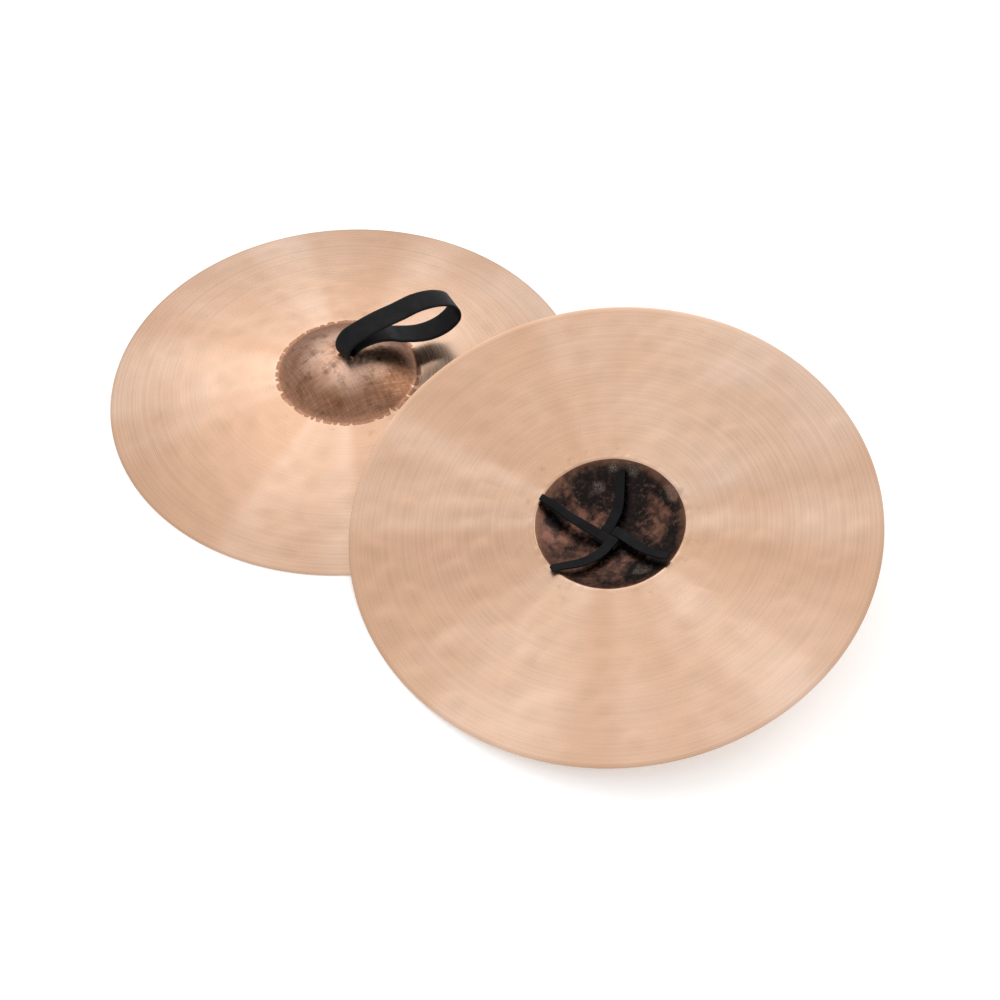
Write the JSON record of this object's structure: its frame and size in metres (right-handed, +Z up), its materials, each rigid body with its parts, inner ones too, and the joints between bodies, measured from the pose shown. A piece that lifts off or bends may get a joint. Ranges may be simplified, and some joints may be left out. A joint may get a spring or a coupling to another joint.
{
  "type": "hand cymbals",
  "caption": "Pair of turned bronze hand cymbals with domed bells, each with a black leather strap knotted inside the bell and a hand loop outside.",
  "frame": {"origin": "on the floor below the middle of the pair's bounding box", "axes": "+Z up, +X from the middle of cymbal A, which lies flat, to the middle of cymbal B, which leans on it"},
  "size_m": [0.8464, 0.508, 0.1014],
  "materials": {
    "bell_bronze": "lathe turned, satin",
    "strap_leather": "smooth black, waxed"
  },
  "bodies": {
    "strap_a": {"strap_a_knot": "strap_leather", "strap_a_neck": "strap_leather", "strap_a_tail_1": "strap_leather", "strap_a_tail_2": "strap_leather", "strap_a_tail_3": "strap_leather", "strap_a_tail_4": "strap_leather"},
    "cymbal_a": {"cymbal_a": "bell_bronze"},
    "hand_loop_a": {"hand_loop_a": "strap_leather"},
    "strap_b": {"strap_b_knot": "strap_leather", "strap_b_neck": "strap_leather", "strap_b_tail_1": "strap_leather", "strap_b_tail_2": "strap_leather", "strap_b_tail_3": "strap_leather", "strap_b_tail_4": "strap_leather"},
    "cymbal_b": {"cymbal_b": "bell_bronze"},
    "hand_loop_b": {"hand_loop_b": "strap_leather"}
  },
  "joints": [
    {"name": "cymbal_a_turn", "type": "hinge", "parent": "strap_a", "child": "cymbal_a", "pos_m": [-0.16924, 0, 0.046], "axis": [0, 0, 1], "continuous": true},
    {"name": "hand_loop_a_swing", "type": "hinge", "parent": "strap_a", "child": "hand_loop_a", "pos_m": [-0.16924, 0, 0.054], "axis": [0.9259, -0.3778, 0], "range_deg": [-8, 125]},
    {"name": "pair_lift", "type": "slide", "parent": "strap_a", "child": "strap_b", "axis": [0, 0, 1], "range_m": [0, 0.3]},
    {"name": "cymbal_b_turn", "type": "hinge", "parent": "strap_b", "child": "cymbal_b", "pos_m": [0.17277, 0.00889, 0.00463], "axis": [0.0635, 0.1876, -0.9802], "continuous": true},
    {"name": "hand_loop_b_swing", "type": "hinge", "parent": "strap_b", "child": "hand_loop_b", "pos_m": [0.17277, 0.00889, 0.00463], "axis": [-0.9472, 0.3206, 0], "range_deg": [0, 115]}
  ]
}
